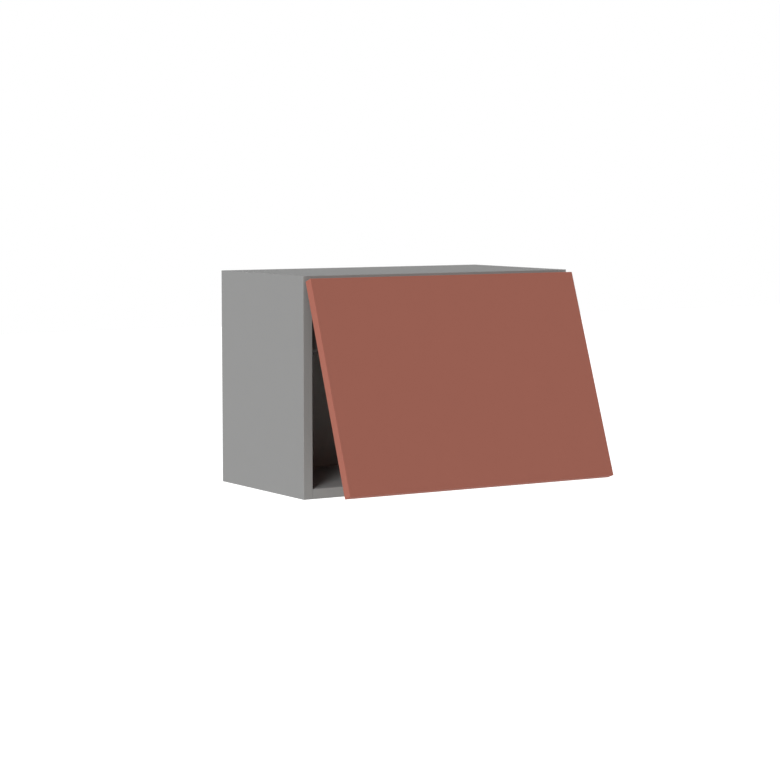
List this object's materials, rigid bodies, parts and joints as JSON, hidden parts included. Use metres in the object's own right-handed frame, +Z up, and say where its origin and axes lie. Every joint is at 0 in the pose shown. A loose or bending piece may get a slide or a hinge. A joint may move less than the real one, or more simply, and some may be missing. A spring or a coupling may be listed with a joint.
{
  "type": "lift-up wall cabinet",
  "caption": "Wall-hung cupboard box with a lift-up flap door on cup hinges, held part-way open by a lever stay on each side panel.",
  "frame": {"origin": "on the wall plane at the back of the box, mid-width, at the height where the hanger hooks sit on the wall rail", "axes": "+X to the right seen from the front, +Y back towards the wall, +Z up"},
  "size_m": [0.6, 0.4821, 0.416],
  "materials": {
    "melamine_board": "matt grey melamine face, fine orange-peel texture, 19 mm board",
    "back_board": "matt grey coated hardboard",
    "door_lacquer": "matt terracotta laminate door board",
    "steel_plated": "nickel-plated pressed steel",
    "zinc_diecast": "zinc die casting and turned pins, satin",
    "spring_steel": "dark oiled spring wire",
    "beech": "fluted beech dowel",
    "grey_plastic": "dark grey moulded cover",
    "pale_plastic": "pale grey moulded cap",
    "clear_rubber": "soft translucent buffer"
  },
  "bodies": {
    "root": {"side_panel_left": "melamine_board", "side_panel_right": "melamine_board", "top_panel": "melamine_board", "bottom_panel": "melamine_board", "back_panel": "back_board", "cam_lower_left": "zinc_diecast", "cam_lower_right": "zinc_diecast", "cam_upper_left": "zinc_diecast", "cam_upper_right": "zinc_diecast", "cam_bolt_lower_left": "steel_plated", "cam_bolt_lower_right": "steel_plated", "cam_bolt_upper_left": "steel_plated", "cam_bolt_upper_right": "steel_plated", "dowel_lower_left": "beech", "dowel_lower_right": "beech", "dowel_upper_left": "beech", "dowel_upper_right": "beech", "hanger_body_left": "steel_plated", "hanger_body_right": "steel_plated", "hanger_hook_left": "steel_plated", "hanger_hook_right": "steel_plated", "hanger_screw_left": "zinc_diecast", "hanger_screw_right": "zinc_diecast", "hanger_cover_left": "pale_plastic", "hanger_cover_right": "pale_plastic", "hinge_plate_left": "zinc_diecast", "hinge_plate_right": "zinc_diecast", "hinge_arm_pin_left": "zinc_diecast", "hinge_arm_pin_right": "zinc_diecast", "hinge_arm_left": "steel_plated", "hinge_arm_right": "steel_plated", "stay_base_left": "steel_plated", "stay_base_right": "steel_plated", "stay_cover_left": "grey_plastic", "stay_cover_right": "grey_plastic", "stay_pivot_pin_left": "zinc_diecast", "stay_pivot_pin_right": "zinc_diecast", "stay_spring_left": "spring_steel", "stay_spring_right": "spring_steel"},
    "hinge_links": {"hinge_link_left": "steel_plated", "hinge_link_right": "steel_plated"},
    "door": {"door_panel": "door_lacquer", "bumper_left": "clear_rubber", "bumper_right": "clear_rubber", "hinge_cup_left": "steel_plated", "hinge_cup_right": "steel_plated", "hinge_cup_pin_left": "zinc_diecast", "hinge_cup_pin_right": "zinc_diecast", "door_bracket_left": "steel_plated", "door_bracket_right": "steel_plated", "door_bracket_pin_left": "zinc_diecast", "door_bracket_pin_right": "zinc_diecast"},
    "stay_levers": {"stay_lever_left": "steel_plated", "stay_lever_right": "steel_plated", "stay_link_pin_left": "zinc_diecast", "stay_link_pin_right": "zinc_diecast"},
    "stay_links": {"stay_link_left": "steel_plated", "stay_link_right": "steel_plated"}
  },
  "joints": [
    {"name": "hinge_link_turn", "type": "hinge", "parent": "root", "child": "hinge_links", "pos_m": [0, -0.302, -0.017], "axis": [-1, 0, 0], "range_deg": [-28.3, 8.1]},
    {"name": "flap_lift", "type": "hinge", "parent": "hinge_links", "child": "door", "pos_m": [0, -0.33044, 0.0169], "axis": [-1, 0, 0], "range_deg": [-27.72, 98.28]},
    {"name": "stay_lever_swing", "type": "hinge", "parent": "root", "child": "stay_levers", "pos_m": [0, -0.262, -0.045], "axis": [-1, 0, 0], "range_deg": [-19.8, 69.6]},
    {"name": "stay_link_turn", "type": "hinge", "parent": "stay_levers", "child": "stay_links", "pos_m": [0, -0.25966, -0.10655], "axis": [-1, 0, 0], "range_deg": [-85.1, 24.2]}
  ],
  "couplings": [
    {"joint": "hinge_link_turn", "follows": "flap_lift", "ratio": -0.28571},
    {"joint": "stay_lever_swing", "follows": "flap_lift", "ratio": 0.7055},
    {"joint": "stay_link_turn", "follows": "flap_lift", "ratio": -0.86271}
  ]
}
